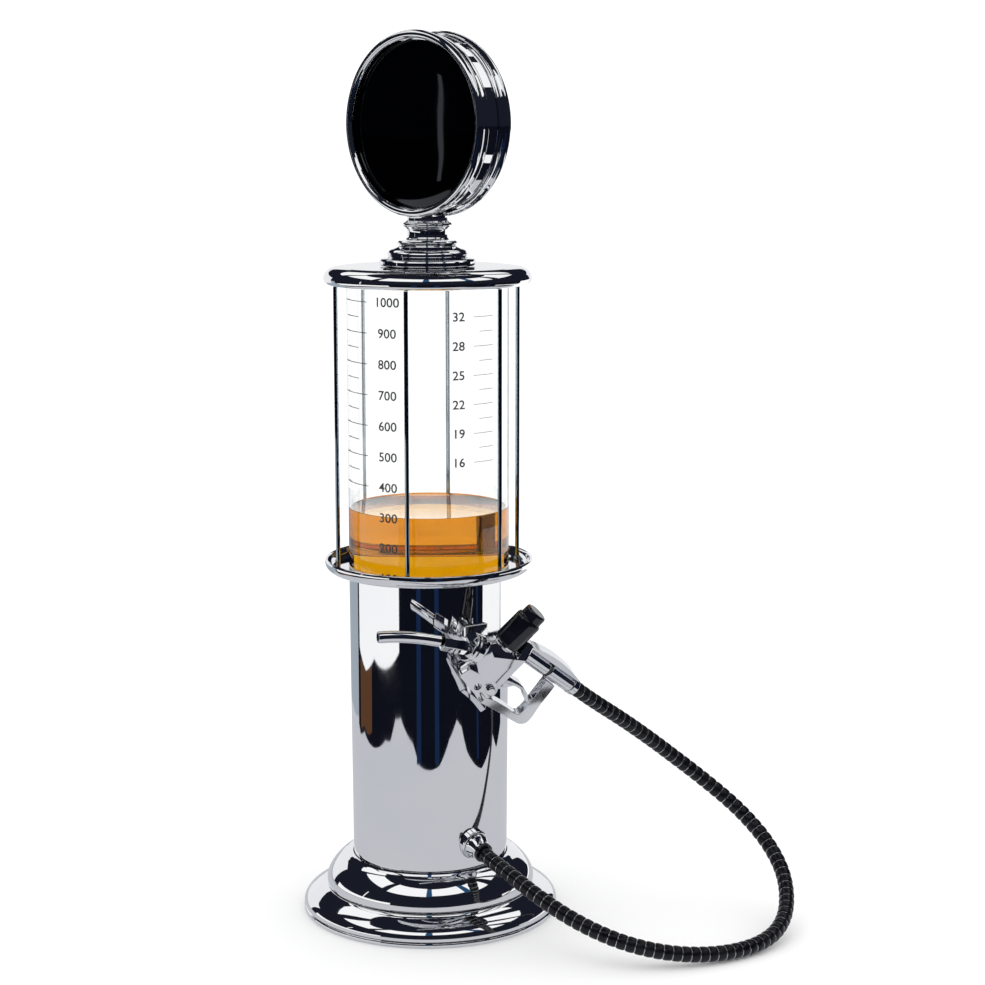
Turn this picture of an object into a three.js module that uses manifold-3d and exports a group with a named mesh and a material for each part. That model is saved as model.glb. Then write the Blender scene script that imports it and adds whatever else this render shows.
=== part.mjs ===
// Table-top drinks dispenser in the shape of a visible gas pump.
// Millimetres, +Z up. The origin is the centre of the base's underside, +X is the side that the
// hose leaves from and that the nozzle hangs on, and the spout points towards -Y.

import * as THREE from 'three';
import { mergeVertices } from 'three/addons/utils/BufferGeometryUtils.js';
import Module from 'manifold-3d';

const wasm = await Module();
wasm.setup();

const DEG = Math.PI / 180;
const GAP = 0.3; // play left between pieces that touch

// ---- driving dimensions -------------------------------------------------------------------------

const BASE_RADIUS = 72.7;
const STEP_RADIUS = 59.4;
const LOWER_STEP_TOP = 14.8;
const UPPER_STEP_TOP = 33.5;

const COLUMN_FOOT_RADIUS = 43.8;
const COLUMN_TOP_RADIUS = 45.0;
const COLUMN_WALL = 1.0;
const COLUMN_TOP = 196.2;

const RING_RADIUS = 58.5;
const RING_FLOOR = 199.4;
const RING_TOP = 204.6;

const ROD_COUNT = 6;
const ROD_RADIUS = 1.2;
const ROD_CIRCLE = 52.8;
const FIRST_ROD_ANGLE = 44.25; // from -Y towards +X

const GLASS_RADIUS = 45.0;
const GLASS_WALL = 1.5;
const GLASS_FOOT = 200.9;
const GLASS_TOP = 361.4;
const TANK_FLOOR = 183.0;
const LIQUID_LEVEL = 233.5;

const CAP_RADIUS = 57.65;
const CAP_FOOT = 358.0;
const CAP_TOP = 368.1;
const FILLER_RADIUS = 15.0;

const HEAD_RADIUS = 50.35;
const HEAD_CENTRE = 445.15;
const HEAD_TURN = 14.25; // the face looks this far from -Y towards +X

const OUTLET_HEIGHT = 48.3;
const OUTLET_DROP = 15; // the outlet points this far below the horizontal
const HOSE_RADIUS = 4.3;

const NOZZLE_ORIGIN = new THREE.Vector3(65.4, -11.2, 165.0);
const NOZZLE_SLOPE = 36; // the grip falls towards +Y
const NOZZLE_LEAN = 27; // the knob leans away from the column
const BODY_HALF = 7.5; // half the thickness of the valve body
const GRIP_AXIS = 14.1; // height of the grip's axis over the nozzle's origin
const KNOB_AXIS = 9.9; // place of the knob's axis along the nozzle
const PIVOT = [22.0, -13.4]; // the trigger's pin, along and across the nozzle
const STEM_AXIS = -4.6;

// ---- geometry helpers ---------------------------------------------------------------------------

// Turns a closed outline of [radius, height] pairs about Z.
function turned(profile, segments = 32) {
  const points = profile.map(([r, z]) => new THREE.Vector2(r, z));
  const onAxis = profile[0][0] === 0 && profile[profile.length - 1][0] === 0;
  if (!onAxis) points.push(points[0].clone());
  const geometry = new THREE.LatheGeometry(points, segments);
  geometry.rotateX(Math.PI / 2);
  return outward(geometry);
}

// A round bar or tube along Z.
function bar(radius, from, to, segments = 24, bore = 0) {
  if (bore > 0) return turned([[bore, from], [radius, from], [radius, to], [bore, to]], segments);
  return turned([[0, from], [radius, from], [radius, to], [0, to]], segments);
}

// A six-sided nut along Z with a round bore.
function nut(radius, from, to, bore) {
  return cut(bar(radius, from, to, 6), bar(bore, from - 1, to + 1, 20));
}

// A plate of the given XY outline between two heights.
function plate(outline, from, to) {
  const shape = new THREE.Shape(outline.map(([x, y]) => new THREE.Vector2(x, y)));
  const geometry = new THREE.ExtrudeGeometry(shape, { depth: to - from, bevelEnabled: false });
  geometry.translate(0, 0, from);
  return outward(geometry);
}

function block(x0, x1, y0, y1, z0, z1) {
  return plate([[x0, y0], [x1, y0], [x1, y1], [x0, y1]], z0, z1);
}

// A round bar or tube that follows a smooth curve through the points.
function swept(points, radius, bore, sides, steps) {
  const section = new THREE.Shape().absarc(0, 0, radius, 0, 2 * Math.PI);
  if (bore > 0) section.holes.push(new THREE.Path().absarc(0, 0, bore, 0, 2 * Math.PI, true));
  const extrudePath = new THREE.CatmullRomCurve3(points, false, 'centripetal');
  const options = { steps, extrudePath, curveSegments: sides / 2 };
  return outward(new THREE.ExtrudeGeometry(section, options));
}

function signedVolume(geometry) {
  const flat = geometry.index ? geometry.toNonIndexed() : geometry;
  const position = flat.attributes.position;
  const [a, b, c] = [new THREE.Vector3(), new THREE.Vector3(), new THREE.Vector3()];
  let volume = 0;
  for (let i = 0; i < position.count; i += 3) {
    a.fromBufferAttribute(position, i);
    b.fromBufferAttribute(position, i + 1);
    c.fromBufferAttribute(position, i + 2);
    volume += a.dot(b.cross(c)) / 6;
  }
  return volume;
}

// Merges shared vertices and makes every face point out.
function outward(geometry) {
  const bare = geometry.clone();
  bare.deleteAttribute('normal');
  bare.deleteAttribute('uv');
  const merged = mergeVertices(bare, 1e-4);
  const kept = [];
  const index = merged.index.array;
  for (let i = 0; i < index.length; i += 3) {
    const [a, b, c] = [index[i], index[i + 1], index[i + 2]];
    if (a !== b && b !== c && c !== a) kept.push(a, b, c);
  }
  if (signedVolume(merged) < 0) kept.reverse();
  merged.setIndex(kept);
  return merged;
}

function toSolid(geometry) {
  const merged = outward(geometry);
  const mesh = new wasm.Mesh({
    numProp: 3,
    vertProperties: new Float32Array(merged.attributes.position.array),
    triVerts: new Uint32Array(merged.index.array),
  });
  return new wasm.Manifold(mesh);
}

function toGeometry(solid) {
  const mesh = solid.getMesh();
  const geometry = new THREE.BufferGeometry();
  geometry.setAttribute('position', new THREE.BufferAttribute(mesh.vertProperties, 3));
  geometry.setIndex(new THREE.BufferAttribute(mesh.triVerts, 1));
  return geometry;
}

function cut(geometry, ...tools) {
  return toGeometry(tools.reduce((solid, tool) => solid.subtract(toSolid(tool)), toSolid(geometry)));
}

function join(geometry, ...others) {
  return toGeometry(others.reduce((solid, other) => solid.add(toSolid(other)), toSolid(geometry)));
}

function placed(geometry, matrix) {
  return geometry.clone().applyMatrix4(matrix);
}

// ---- materials and nodes ------------------------------------------------------------------------

function finish(color, roughness, metalness, opacity = 1) {
  const options = { color, roughness, metalness, opacity, transparent: opacity < 1 };
  return new THREE.MeshStandardMaterial(options);
}

const CHROME = finish(0xd8dce2, 0.08, 1);
const STEEL = finish(0x9a9da1, 0.35, 1);
const DARK_MIRROR = finish(0x15171b, 0.05, 0.9);
const GLASS = finish(0xf2f8f6, 0.03, 0, 0.3);
const AMBER = finish(0xc9700a, 0.05, 0, 0.8);
const SILICONE = finish(0xd9dcd8, 0.5, 0);
const BLACK_RUBBER = finish(0x141414, 0.6, 0);
const BLACK_PLASTIC = finish(0x101013, 0.3, 0);

function node(group, name, geometry, material) {
  const mesh = new THREE.Mesh(geometry, material);
  mesh.name = name;
  group.add(mesh);
}

// Point at a distance from the pump's axis, at an angle from -Y towards +X.
function around(radius, angle, z = 0) {
  return [radius * Math.sin(angle * DEG), -radius * Math.cos(angle * DEG), z];
}

// ---- base and column ----------------------------------------------------------------------------

function makeBase(pump) {
  const PLATE = [2.3, 6.0];
  const FLOOR = [17.0, 19.0];
  const BOLT_CIRCLE = 30;
  const BOLT_RADIUS = 1.9;
  const bolts = [0, 120, 240].map((angle) => around(BOLT_CIRCLE, angle));
  const boltHoles = bolts.map(([x, y]) => bar(BOLT_RADIUS + GAP, 0, 30, 12).translate(x, y, 0));

  node(pump, 'foot_pad', bar(69, 0, 2), BLACK_RUBBER);
  node(pump, 'base_plate', cut(bar(66, PLATE[0], PLATE[1]), ...boltHoles), STEEL);
  node(pump, 'base_lower_step', turned([
    [69.4, 0.6], [71.4, 0.6], [72.3, 1.8], [BASE_RADIUS, 3.6], [72.2, 6.2], [70.4, 8.8],
    [67.0, 11.4], [63.0, 13.4], [59.5, LOWER_STEP_TOP], [47, LOWER_STEP_TOP],
    [47, 13.2], [59.0, 13.2], [62.2, 11.9], [65.8, 10.1], [68.8, 7.9], [70.5, 5.8], [71.0, 3.6],
    [70.4, 2.2],
  ]), CHROME);
  const stepFoot = LOWER_STEP_TOP + GAP;
  node(pump, 'base_upper_step', turned([
    [57.6, stepFoot], [59.1, stepFoot], [STEP_RADIUS, 16.8], [58.9, 20.5], [57.0, 24.3],
    [53.8, 28.4], [50.5, 31.5], [47.8, 33.2], [45.8, UPPER_STEP_TOP], [44.3, UPPER_STEP_TOP],
    [44.3, 31.8], [46.9, 31.5], [49.6, 29.8], [52.6, 26.9], [55.5, 23.2], [57.2, 20.0], [57.7, 16.8],
  ]), CHROME);
  node(pump, 'column_floor', cut(bar(42.3, FLOOR[0], FLOOR[1]), ...boltHoles), STEEL);
  bolts.forEach(([x, y], i) => {
    const bolt = turned([
      [0, PLATE[0] + 0.6], [BOLT_RADIUS, PLATE[0] + 0.6], [BOLT_RADIUS, FLOOR[1] + GAP],
      [3.4, FLOOR[1] + GAP], [3.4, FLOOR[1] + 2.8], [0, FLOOR[1] + 2.8],
    ], 12);
    node(pump, `base_bolt_${i + 1}`, bolt.translate(x, y, 0), STEEL);
  });
}

// The outlet's axis: its local Z runs out of the column wall, down towards +X.
function outletMatrix() {
  const matrix = new THREE.Matrix4().makeRotationY((90 + OUTLET_DROP) * DEG);
  return matrix.setPosition(COLUMN_FOOT_RADIUS + 0.2, 0, OUTLET_HEIGHT);
}

function columnBody(play) {
  const foot = LOWER_STEP_TOP + GAP;
  return turned([
    [0, foot - play], [COLUMN_FOOT_RADIUS + play, foot - play],
    [COLUMN_TOP_RADIUS + play, COLUMN_TOP + play], [0, COLUMN_TOP + play],
  ]);
}

function makeColumn(pump) {
  const foot = LOWER_STEP_TOP + GAP;
  const shell = turned([
    [COLUMN_FOOT_RADIUS - COLUMN_WALL, foot], [COLUMN_FOOT_RADIUS, foot],
    [COLUMN_TOP_RADIUS, COLUMN_TOP], [COLUMN_TOP_RADIUS - COLUMN_WALL, COLUMN_TOP],
  ]);
  node(pump, 'column_shell', cut(shell, placed(bar(5.3, -8, 8, 16), outletMatrix())), CHROME);
}

// ---- tank: ring, rods, glass and cap ------------------------------------------------------------

function makeTank(pump) {
  node(pump, 'rod_ring', turned([
    [43.8, COLUMN_TOP + GAP], [47, COLUMN_TOP + GAP], [53, 197.8], [56.6, 200.4], [RING_RADIUS, 203.2],
    [58.3, 204.3], [57.7, RING_TOP], [57.0, 204.2], [56.0, 201.6], [55.2, RING_FLOOR],
    [43.8, RING_FLOOR],
  ]), CHROME);
  for (let i = 0; i < ROD_COUNT; i += 1) {
    const [x, y] = around(ROD_CIRCLE, FIRST_ROD_ANGLE + (360 / ROD_COUNT) * i);
    const rod = turned([
      [0, RING_FLOOR + 0.2], [2.0, RING_FLOOR + 0.2], [2.0, RING_FLOOR + 1.8], [ROD_RADIUS, RING_FLOOR + 2.4],
      [ROD_RADIUS, CAP_FOOT - 0.2], [0, CAP_FOOT - 0.2],
    ], 8);
    node(pump, `rod_${i + 1}`, rod.translate(x, y, 0), CHROME);
  }
  const bore = GLASS_RADIUS - GLASS_WALL;
  node(pump, 'lower_gasket', bar(GLASS_RADIUS, RING_FLOOR + 0.2, GLASS_FOOT - 0.2, 32, 43.7), SILICONE);
  node(pump, 'glass_tube', bar(GLASS_RADIUS, GLASS_FOOT, GLASS_TOP, 32, bore), GLASS);
  node(pump, 'upper_gasket', bar(GLASS_RADIUS, GLASS_TOP + 0.2, GLASS_TOP + 1.4, 32, 43.2), SILICONE);
  const spigotFoot = TANK_FLOOR - 12;
  node(pump, 'tank_cup', turned([
    [2.6, spigotFoot], [4.4, spigotFoot], [4.4, TANK_FLOOR - 1.2], [43.3, TANK_FLOOR - 1.2],
    [43.3, GLASS_FOOT - 0.5], [42.6, GLASS_FOOT - 0.5], [42.6, TANK_FLOOR], [2.6, TANK_FLOOR],
  ]), STEEL);
  node(pump, 'liquid_fill', turned([
    [0, TANK_FLOOR + 0.2], [42.3, TANK_FLOOR + 0.2], [42.3, GLASS_FOOT - 0.2],
    [bore - GAP, GLASS_FOOT], [bore - GAP, LIQUID_LEVEL], [0, LIQUID_LEVEL],
  ]), AMBER);
  node(pump, 'cap_shell', turned([
    [45.4, CAP_FOOT], [54.4, CAP_FOOT], [56.6, 359.1], [CAP_RADIUS, 361.0], [57.2, 363.4],
    [55.8, 365.6], [53.4, 367.2], [50, 367.8], [40, CAP_TOP], [FILLER_RADIUS, CAP_TOP],
    [FILLER_RADIUS, 366.5], [42.8, 366.5], [42.8, GLASS_TOP + 1.7], [45.4, GLASS_TOP + 1.7],
  ]), CHROME);
}

// ---- feed tube, outlet and hose -----------------------------------------------------------------

function makeOutlet(pump) {
  const matrix = outletMatrix();
  const boss = placed(bar(8.5, -4, 2.6, 20), matrix);
  const bossBore = placed(bar(5.2, -9, 6, 16), matrix);
  node(pump, 'outlet_boss', cut(boss, columnBody(GAP), bossBore), CHROME);
  const stub = turned([
    [2.4, -8.0], [4.9, -8.0], [4.9, 2.9], [7.4, 2.9], [7.2, 4.2], [5.4, 9.3], [2.4, 9.3],
  ], 24);
  node(pump, 'outlet_stub', placed(stub, matrix), CHROME);
  node(pump, 'outlet_locknut', placed(nut(7.6, -7.4, -4.4, 5.2), matrix), STEEL);
  node(pump, 'hose_collar', placed(bar(5.5, 9.6, 11.4, 20, 2.4), matrix), BLACK_PLASTIC);

  const end = new THREE.Vector3(0, 0, -8.3).applyMatrix4(matrix);
  const before = new THREE.Vector3(0, 0, -18).applyMatrix4(matrix);
  const feed = [
    new THREE.Vector3(0, 0, TANK_FLOOR - 12 - GAP), new THREE.Vector3(0, 0, 150),
    new THREE.Vector3(0.8, 0, 110), new THREE.Vector3(6, 0, 76), before, end,
  ];
  node(pump, 'feed_tube', swept(feed, 4.4, 2.6, 8, 12), SILICONE);
}

// The hose's centreline, from just past the outlet to just before the nozzle's tail.
const HOSE_ROUTE = [
  [69.2, 0.8, 41.5], [81.9, 2.4, 37.8], [93.4, 4.9, 33.5], [104.0, 8.2, 29.2], [113.8, 12.4, 25.0],
  [122.8, 17.3, 21.2], [131.2, 23.1, 17.6], [138.9, 29.9, 14.3], [145.9, 37.6, 11.5],
  [152.3, 46.4, 9.1], [157.7, 56.2, 7.2], [162.1, 67.1, 5.8], [165.2, 79.2, 4.9], [166.6, 92.5, 4.6],
  [165.7, 106.7, 5.1], [161.8, 121.0, 7.1], [154.5, 134.0, 11.4], [144.3, 144.6, 18.0],
  [133.6, 151.5, 25.6], [123.2, 154.6, 33.2], [113.5, 154.8, 40.7], [104.6, 152.6, 48.2],
  [96.7, 148.5, 55.7], [89.7, 142.7, 63.2], [83.9, 135.5, 70.8], [79.3, 127.1, 78.7],
  [75.8, 117.8, 86.7], [73.4, 107.7, 95.0], [71.9, 96.8, 103.4], [71.3, 85.3, 111.7],
];

function makeHose(pump) {
  const outlet = [11.75, 18].map((z) => new THREE.Vector3(0, 0, z).applyMatrix4(outletMatrix()));
  const tail = [78, 65.35].map((x) => new THREE.Vector3(x, GRIP_AXIS, 0).applyMatrix4(nozzleMatrix()));
  const route = HOSE_ROUTE.map(([x, y, z]) => new THREE.Vector3(x, y, z));
  const points = [...outlet, ...route, ...tail];
  node(pump, 'hose', swept(points, HOSE_RADIUS, 0, 8, 30), BLACK_RUBBER);
}

// ---- filler lid and head ------------------------------------------------------------------------

function makeLid(pump) {
  const SEAL = [359.0, 363.5];
  const FLANGE_FOOT = CAP_TOP + GAP;
  node(pump, 'filler_plug', turned([
    [3.3, 356.0], [12.6, 356.0], [14.0, 357.6], [14.0, SEAL[0] - 0.2], [12.6, SEAL[0] - 0.2],
    [12.6, SEAL[1] + 0.2], [14.0, SEAL[1] + 0.2], [14.0, CAP_TOP], [3.3, CAP_TOP],
  ], 32), CHROME);
  node(pump, 'plug_seal', bar(14.7, SEAL[0], SEAL[1], 32, 12.8), SILICONE);
  node(pump, 'lid_flange', turned([
    [3.3, FLANGE_FOOT], [26.2, FLANGE_FOOT], [26.8, 369.2], [26.8, 371.2], [26.0, 372.2],
    [22.2, 372.6], [21.7, 373.4], [22.3, 374.7], [21.7, 376.3], [20.4, 377.3], [17.0, 378.4],
    [15.8, 379.6], [16.75, 380.9], [15.8, 382.0], [3.3, 382.0],
  ], 24), CHROME);
}

// The head's own frame: local Z is the face's normal.
function headMatrix() {
  const turn = new THREE.Matrix4().makeRotationZ(HEAD_TURN * DEG);
  const tip = new THREE.Matrix4().makeRotationX(Math.PI / 2);
  return turn.multiply(tip).setPosition(0, 0, HEAD_CENTRE);
}

// Half of the head's outline, on the side that local Z points to.
function bezel() {
  return turned([
    [46.6, 4.5], [49.3, 4.5], [49.6, 5.6], [49.2, 8.2], [50.1, 9.4], [HEAD_RADIUS, 11.0],
    [49.9, 12.6], [48.4, 13.5], [46.6, 13.2], [45.6, 12.0], [46.4, 10.6],
  ]);
}

function facePlate() {
  return turned([
    [0, 10.6], [20, 10.0], [36, 8.8], [45.2, 7.4], [45.2, 9.2], [36, 10.6], [20, 12.0], [0, 12.6],
  ], 24);
}

function makeHead(pump) {
  const matrix = headMatrix();
  const back = matrix.clone().multiply(new THREE.Matrix4().makeRotationY(Math.PI));
  const studHole = bar(3.6, 380, 405, 16);
  const drumSpace = placed(bar(HEAD_RADIUS + GAP, -16, 16, 32), matrix);
  const band = placed(bar(48.0, -4.2, 4.2, 32, 46.4), matrix);

  const post = turned([
    [3.3, 382.3], [12.0, 382.3], [11.3, 383.6], [11.3, 387.6], [12.2, 389.2], [13.8, 390.8],
    [12.2, 392.2], [11.3, 393.6], [11.6, 397.5], [3.3, 397.5],
  ], 24);
  node(pump, 'neck_post', cut(post, drumSpace), CHROME);
  node(pump, 'head_band', cut(band, studHole), CHROME);
  node(pump, 'head_bezel_front', placed(bezel(), matrix), CHROME);
  node(pump, 'head_bezel_rear', placed(bezel(), back), CHROME);
  node(pump, 'head_face_front', placed(facePlate(), matrix), DARK_MIRROR);
  node(pump, 'head_face_rear', placed(facePlate(), back), DARK_MIRROR);
  node(pump, 'head_stud', turned([
    [0, 372], [3.0, 372], [3.0, 399.3], [5.2, 399.3], [5.2, 402.5], [0, 402.5],
  ], 16), STEEL);
}

// ---- hanger on the column -----------------------------------------------------------------------

const PEG = [54.0, 0.5];
const ARM_TOP = 161.2;
const EYE_TOP = 164.0;

// A bar on the peg's axis, which leans out in the plane of the valve body's inner face.
function onPegAxis(radius, from, to) {
  const outer = new THREE.Vector3().setFromMatrixColumn(nozzleMatrix(), 2);
  const up = new THREE.Vector3(0, 0, 1);
  const lean = up.clone().addScaledVector(outer, -outer.z).normalize();
  const turn = new THREE.Quaternion().setFromUnitVectors(up, lean);
  return bar(radius, from, to, 16).applyQuaternion(turn).translate(PEG[0], PEG[1], ARM_TOP);
}

function makeHanger(pump) {
  const saddle = block(40, 47.2, -7, 8, 152, 174);
  node(pump, 'hanger_plate', cut(saddle, columnBody(GAP)), CHROME);
  const arm = block(47.5, PEG[0] + 2.6, PEG[1] - 2.6, PEG[1] + 2.6, ARM_TOP - 2.8, ARM_TOP);
  node(pump, 'hanger_arm', join(arm, onPegAxis(2.0, -1.4, 8.8)), CHROME);
}

// ---- nozzle -------------------------------------------------------------------------------------

// The nozzle's frame: local X runs along the grip to the hose, local Y up to the knob, and
// local Z out from the column.
function nozzleMatrix() {
  const along = new THREE.Vector3(0, Math.cos(NOZZLE_SLOPE * DEG), -Math.sin(NOZZLE_SLOPE * DEG));
  const upright = new THREE.Vector3(0, Math.sin(NOZZLE_SLOPE * DEG), Math.cos(NOZZLE_SLOPE * DEG));
  const knobSide = upright.multiplyScalar(Math.cos(NOZZLE_LEAN * DEG));
  knobSide.add(new THREE.Vector3(Math.sin(NOZZLE_LEAN * DEG), 0, 0));
  const outer = along.clone().cross(knobSide);
  return new THREE.Matrix4().makeBasis(along, knobSide, outer).setPosition(NOZZLE_ORIGIN);
}

// A round bar or tube along the nozzle, at a height across it.
function lengthwise(radius, from, to, across, segments = 16, bore = 0) {
  return bar(radius, from, to, segments, bore).rotateY(Math.PI / 2).translate(0, across, 0);
}

// A round bar or tube across the nozzle, towards the knob.
function crosswise(radius, from, to, along, segments = 16, bore = 0) {
  return bar(radius, from, to, segments, bore).rotateX(-Math.PI / 2).translate(along, 0, 0);
}

function valveBody() {
  const outline = [
    [2.1, -9.5], [16, -8.4], [20.5, -7.2], [22.6, -7.2], [22.6, 20.0], [21.8, 20.7], [18.7, 20.7],
    [17.9, 19.9], [17.9, 10.6], [3.0, 10.6], [0.2, 8.4],
  ];
  return cut(
    plate(outline, -BODY_HALF, BODY_HALF),
    lengthwise(1.6, 9, 24, STEM_AXIS, 12),
    lengthwise(2.2, 19, 24, GRIP_AXIS, 12),
    crosswise(1.7, 0, GRIP_AXIS, 20.2, 12),
    lengthwise(1.7, -2, 20.2, 0, 12),
    crosswise(2.3, -1.5, 12, KNOB_AXIS, 12),
  );
}

function leverBracket() {
  const outline = [
    [2.2, -9.8], [1.4, -16.6], [16.2, -20.4], [23.8, -23.2], [23.8, -18.9], [26.3, -15.6],
    [25.6, -11.2], [23.0, -8.6], [20.4, -7.5], [16, -8.7],
  ];
  const slot = block(17.8, 30, -17.6, 0, -2.4, 2.4);
  return cut(
    plate(outline, -4.5, 4.5), slot,
    bar(2.3, -8, 8, 20).translate(14.2, -15.9, 0),
    bar(1.5, -8, 8, 16).translate(PIVOT[0], PIVOT[1], 0),
  );
}

function triggerGuard() {
  return plate([
    [45.9, 9.0], [52.9, 9.0], [55.2, -5.4], [57.4, -15.0], [57.0, -18.2], [54.9, -20.4], [47.0, -21.4],
    [37.5, -21.8], [30.0, -22.6], [24.1, -23.4], [24.1, -19.0], [31.0, -17.4], [40.0, -16.9],
    [48.2, -16.9], [49.4, -15.6], [49.3, -12.5], [48.3, -5.4],
  ], -3.0, 3.0);
}

function triggerBlade() {
  const boss = bar(3.1, -2.1, 0.6, 20).translate(PIVOT[0], PIVOT[1], 0);
  const web = plate([
    [21.6, -16.4], [25.2, -15.2], [28.6, -11.2], [33.0, -6.4], [35.4, -3.6], [31.0, -3.2],
    [25.4, -3.6], [25.4, -11.2], [21.6, -10.5],
  ], -2.1, 0.6);
  const blade = plate([
    [25.4, -5.0], [25.4, -3.4], [31.3, -2.1], [37.3, -1.8], [42.8, -3.6], [46.2, -6.2], [45.4, -7.6],
    [41.6, -5.2], [36.8, -3.5], [31.3, -3.8],
  ], -4.2, 4.2);
  const pinHole = bar(1.7, -8, 8, 16).translate(PIVOT[0], PIVOT[1], 0);
  return cut(join(boss, web, blade), pinHole);
}

function triggerSpring() {
  const TURNS = 2.5;
  const STEPS = 24;
  const points = [];
  for (let i = 0; i <= STEPS; i += 1) {
    const angle = (2 * Math.PI * TURNS * i) / STEPS;
    const x = PIVOT[0] + 2.25 * Math.cos(angle);
    const y = PIVOT[1] + 2.25 * Math.sin(angle);
    points.push(new THREE.Vector3(x, y, 1.15 + (0.95 * i) / STEPS));
  }
  return swept(points, 0.14, 0, 4, STEPS);
}

function valveKnob() {
  return turned([
    [2.9, 12.8], [6.9, 12.8], [7.65, 13.6], [7.65, 30.2], [7.1, 31.2], [6.4, 31.6], [6.3, 36.2],
    [5.7, 36.9], [0, 36.9], [0, 34.0], [2.9, 34.0],
  ], 20).rotateX(-Math.PI / 2).translate(KNOB_AXIS, 0, 0);
}

// The front parts share an axis that climbs a little towards the grip.
function tilted(geometry, along, across, angle) {
  return geometry.rotateY(Math.PI / 2).rotateZ(angle * DEG).translate(along, across, 0);
}

function makeNozzle(pump) {
  const matrix = nozzleMatrix();
  const add = (name, geometry, material) => node(pump, name, placed(geometry, matrix), material);

  const flange = turned([
    [2.4, -3.6], [8.2, -3.6], [8.6, -3.2], [8.6, -1.6], [7.9, -1.3], [8.8, -1.0], [8.8, 2.4],
    [2.4, 2.4],
  ], 20);
  const spoutNut = nut(5.0, -7.2, 7.2, 2.4);
  const spout = [[-52.6, -25.9], [-46.4, -21.2], [-39.6, -16.8], [-32, -12.6], [-22.5, -8.2]];

  add('nozzle_body', valveBody(), CHROME);
  add('lever_bracket', leverBracket(), CHROME);
  add('nozzle_flange', tilted(flange, -2.9, -0.6, 9), CHROME);
  add('spout_nut', tilted(spoutNut, -14.4, -4.9, 22), CHROME);
  add('spout', swept(spout.map(([x, y]) => new THREE.Vector3(x, y, 0)), 3.2, 2.3, 12, 10), CHROME);
  add('grip_tube', lengthwise(4.8, 22.9, 41.0, GRIP_AXIS, 16, 2.2), CHROME);
  add('grip_ring', lengthwise(4.4, 41.2, 42.8, GRIP_AXIS, 16, 2.2), BLACK_RUBBER);
  add('grip_sleeve', lengthwise(4.8, 43.0, 60.9, GRIP_AXIS, 16, 2.2), CHROME);
  add('tail_ferrule', lengthwise(5.0, 61.2, 65.0, GRIP_AXIS, 16, 2.2), CHROME);
  add('grip_strap', plate([
    [22.9, 19.2], [61.6, 19.2], [62.4, 19.7], [58, 20.9], [53.3, 21.7], [42.6, 22.6], [32, 22.1],
    [22.9, 20.4],
  ], -4.0, 4.0), CHROME);
  add('trigger_guard', triggerGuard(), CHROME);
  add('trigger', triggerBlade(), CHROME);
  const pin = turned([[0, -4.7], [1.35, -4.7], [1.35, 4.7], [2.8, 4.7], [2.8, 6.0], [2.2, 6.5], [0, 6.5]], 16);
  add('trigger_pin', pin.translate(PIVOT[0], PIVOT[1], 0), CHROME);
  add('trigger_spring', triggerSpring(), STEEL);
  add('valve_stem', lengthwise(1.3, 13.0, 25.1, STEM_AXIS, 12), STEEL);
  add('knob_bonnet', crosswise(6.4, 10.9, 12.5, KNOB_AXIS, 16, 2.3), CHROME);
  add('valve_spindle', crosswise(1.9, 3.0, 33.6, KNOB_AXIS, 12), STEEL);
  add('valve_knob', valveKnob(), BLACK_PLASTIC);

  const eye = block(49.6, 66, PEG[1] - 4.4, PEG[1] + 4.4, ARM_TOP + GAP, EYE_TOP);
  const bodySpace = placed(block(-70, 70, -70, 70, -BODY_HALF - GAP, 40), matrix);
  node(pump, 'hanger_eye', cut(eye, bodySpace, onPegAxis(2.4, -12, 12)), CHROME);
}

// ---- assembly -----------------------------------------------------------------------------------

const pump = new THREE.Group();
makeBase(pump);
makeColumn(pump);
makeTank(pump);
makeOutlet(pump);
makeHose(pump);
makeLid(pump);
makeHead(pump);
makeHanger(pump);
makeNozzle(pump);

export default pump;
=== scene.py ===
"""Looks of a table-top drinks dispenser in the shape of a visible gas pump, round its CAD frame.

Outlines are in millimetres and become metres in the mesh helpers. The frame is the CAD part's:
+Z up, +X towards the hose and the nozzle, and the spout points towards -Y.
"""

import math

import bmesh
import bpy
from mathutils import Matrix, Vector


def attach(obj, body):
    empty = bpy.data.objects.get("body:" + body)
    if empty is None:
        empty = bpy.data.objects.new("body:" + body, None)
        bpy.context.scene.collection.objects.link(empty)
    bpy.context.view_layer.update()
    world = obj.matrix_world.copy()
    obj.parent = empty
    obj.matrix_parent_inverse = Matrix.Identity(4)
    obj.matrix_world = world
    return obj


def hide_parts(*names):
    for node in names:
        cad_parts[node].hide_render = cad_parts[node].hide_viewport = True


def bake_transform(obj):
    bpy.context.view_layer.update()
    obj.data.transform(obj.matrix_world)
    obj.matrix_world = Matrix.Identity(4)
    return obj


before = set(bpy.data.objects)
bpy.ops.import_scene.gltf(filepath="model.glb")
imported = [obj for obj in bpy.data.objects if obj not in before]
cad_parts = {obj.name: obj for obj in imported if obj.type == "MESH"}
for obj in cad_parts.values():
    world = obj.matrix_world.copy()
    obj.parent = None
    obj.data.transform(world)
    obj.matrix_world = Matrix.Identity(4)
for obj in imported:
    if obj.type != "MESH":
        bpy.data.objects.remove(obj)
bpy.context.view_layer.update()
SCENE = bpy.context.scene
MM = 0.001


def direction(azimuth, elevation=0.0):
    """Unit vector at an azimuth from -Y towards +X and an elevation, in degrees."""
    a, e = math.radians(azimuth), math.radians(elevation)
    return Vector((math.sin(a) * math.cos(e), -math.cos(a) * math.cos(e), math.sin(e)))


# ---- camera -------------------------------------------------------------------------------------

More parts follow.
